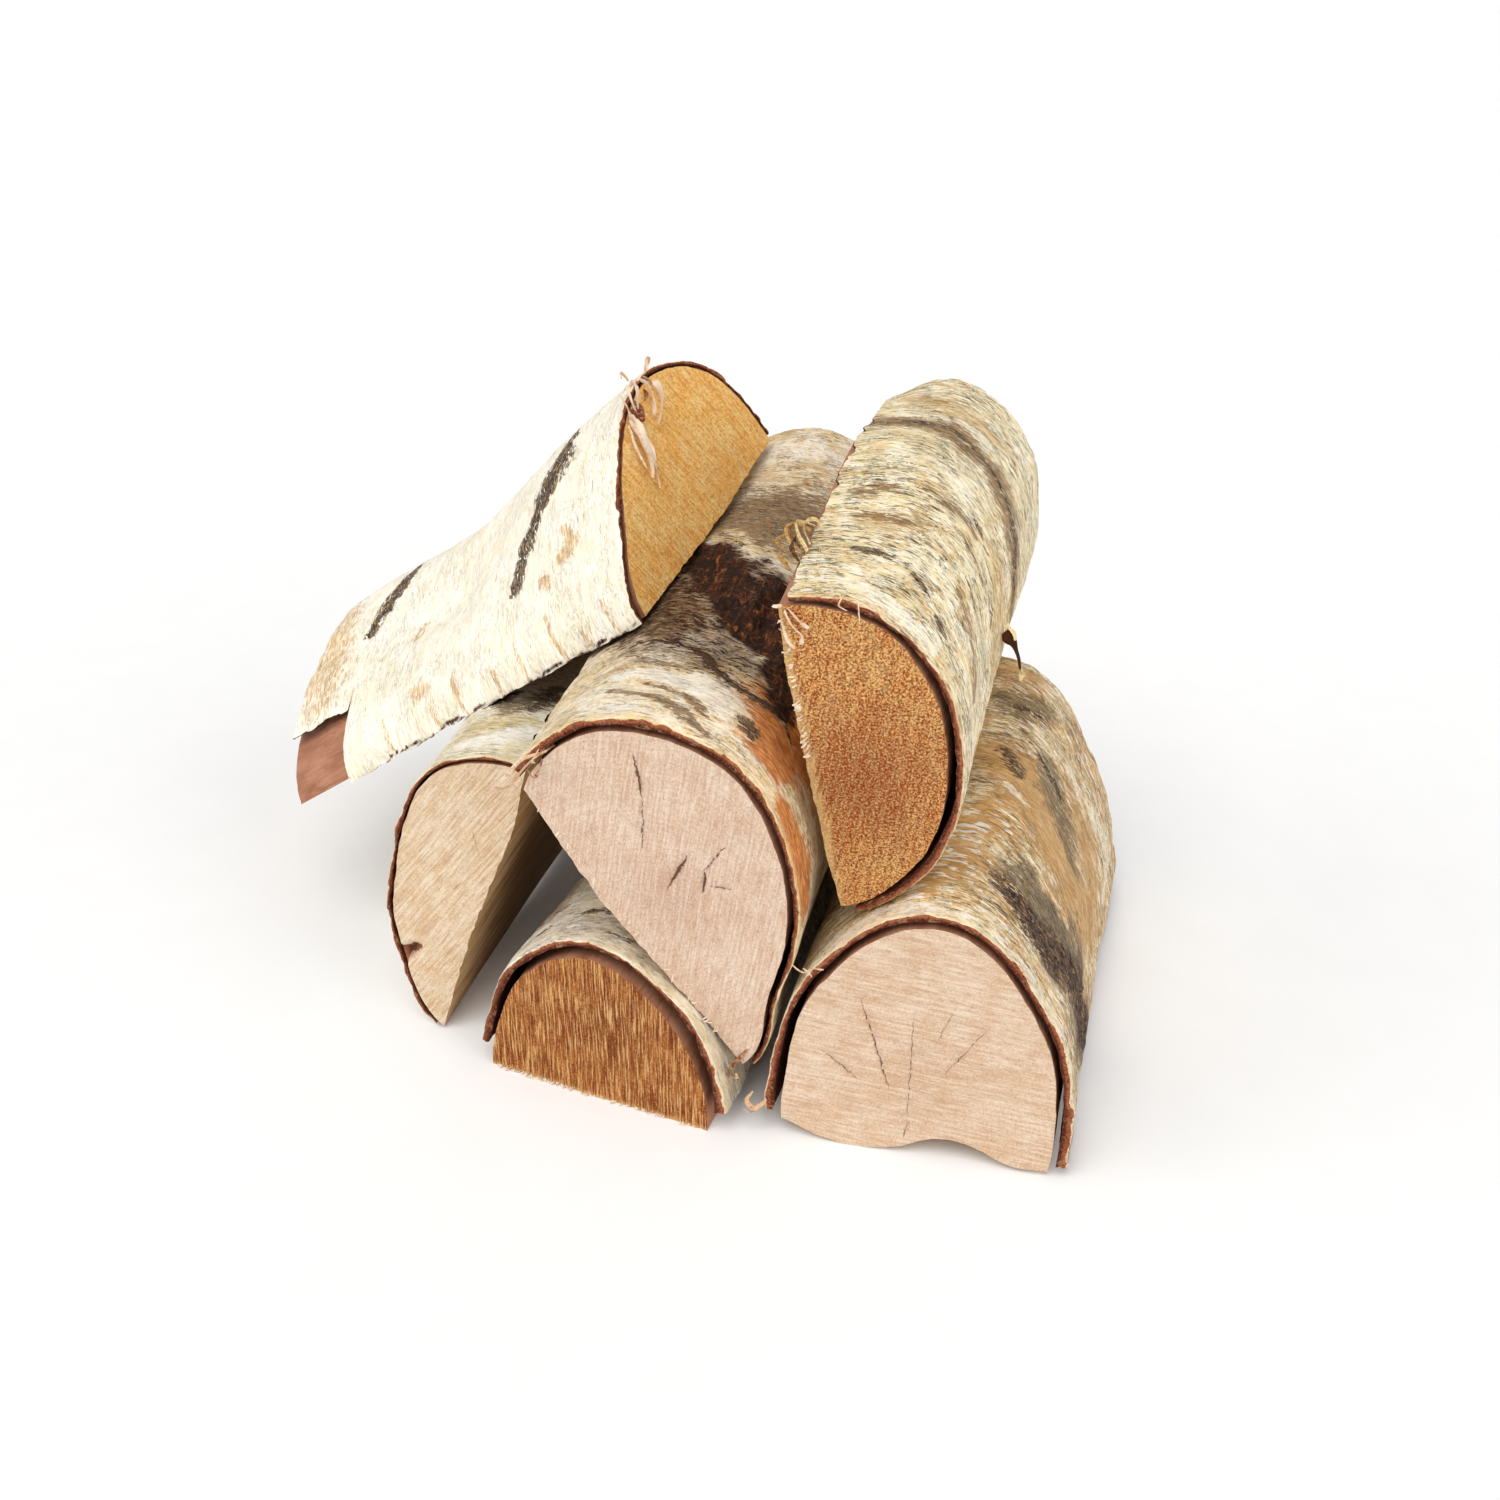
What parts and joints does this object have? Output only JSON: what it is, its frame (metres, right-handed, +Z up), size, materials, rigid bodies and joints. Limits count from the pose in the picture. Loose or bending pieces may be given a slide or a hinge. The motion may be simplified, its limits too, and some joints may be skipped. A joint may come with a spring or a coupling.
{
  "type": "stack of split birch firewood logs",
  "caption": "Loose stack of half-split birch firewood with white papery bark, some logs flat on the floor and others leaning or lying across them.",
  "frame": {"origin": "on the floor plane, under the middle of the stack's outline", "axes": "+Z up; +Y along the lower logs, away from the sawn ends that face the viewer; +X to the right seen from those ends"},
  "size_m": [0.4551, 0.3061, 0.3148],
  "materials": {
    "bottom_middle_log_wood": "rough sawn end, split sides",
    "bottom_middle_log_bark": "pale papery bark over a red-brown inner layer",
    "bottom_right_log_wood": "sawn end, split sides",
    "bottom_right_log_bark": "weathered bark with grey patches",
    "left_log_wood": "sawn end, split sides",
    "left_log_bark": "pale papery bark",
    "middle_log_wood": "smooth sawn end with drying cracks, split sides",
    "middle_log_bark": "blotched bark with a branch scar",
    "top_right_log_wood": "rough sawn end, split sides",
    "top_right_log_bark": "cream bark with close dark cross lines",
    "top_left_log_wood": "rough sawn end, split sides",
    "top_left_log_bark": "white papery bark with short cross lines"
  },
  "bodies": {
    "root": {"bottom_middle_log_wood": "bottom_middle_log_wood", "bottom_middle_log_bark": "bottom_middle_log_bark", "bottom_right_log_wood": "bottom_right_log_wood", "bottom_right_log_bark": "bottom_right_log_bark", "left_log_wood": "left_log_wood", "left_log_bark": "left_log_bark", "middle_log_wood": "middle_log_wood", "middle_log_bark": "middle_log_bark", "top_right_log_wood": "top_right_log_wood", "top_right_log_bark": "top_right_log_bark", "top_left_log_wood": "top_left_log_wood", "top_left_log_bark": "top_left_log_bark"}
  },
  "joints": []
}
